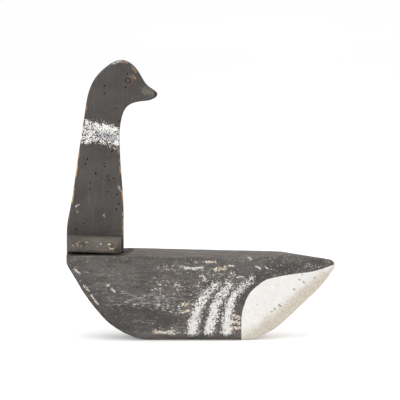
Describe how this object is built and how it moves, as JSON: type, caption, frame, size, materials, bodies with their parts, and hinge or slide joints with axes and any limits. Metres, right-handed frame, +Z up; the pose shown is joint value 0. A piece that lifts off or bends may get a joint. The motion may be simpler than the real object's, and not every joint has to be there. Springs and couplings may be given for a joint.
{
  "type": "goose decoy",
  "caption": "Flat-sided wooden goose decoy whose board-cut head and neck stand on a round peg, turn on it and lift out of the body.",
  "frame": {"origin": "middle of the flat base the decoy stands on", "axes": "+X from the breast to the tail, +Y to the bird's right side, +Z up along the neck peg"},
  "size_m": [0.4295, 0.082, 0.448],
  "materials": {
    "body_paint": "worn brown-black paint with white flank marks and a white vent",
    "head_paint": "worn brown-black paint with a white neck band",
    "cleat_paint": "worn brown-black paint",
    "nail_iron": "rusted",
    "eye_tack": "tarnished",
    "bare_wood": "bare, oiled by handling"
  },
  "bodies": {
    "body": {"body_block": "body_paint"},
    "peg": {"neck_peg": "bare_wood"},
    "head": {"head_board": "head_paint", "left_cleat": "cleat_paint", "right_cleat": "cleat_paint", "left_nails": "nail_iron", "right_nails": "nail_iron", "left_eye": "eye_tack", "right_eye": "eye_tack"}
  },
  "joints": [
    {"name": "head_lift", "type": "slide", "parent": "body", "child": "peg", "axis": [0, 0, 1], "range_m": [0, 0.08]},
    {"name": "head_turn", "type": "hinge", "parent": "peg", "child": "head", "pos_m": [-0.162, 0, 0.139], "axis": [0, 0, 1], "continuous": true}
  ]
}
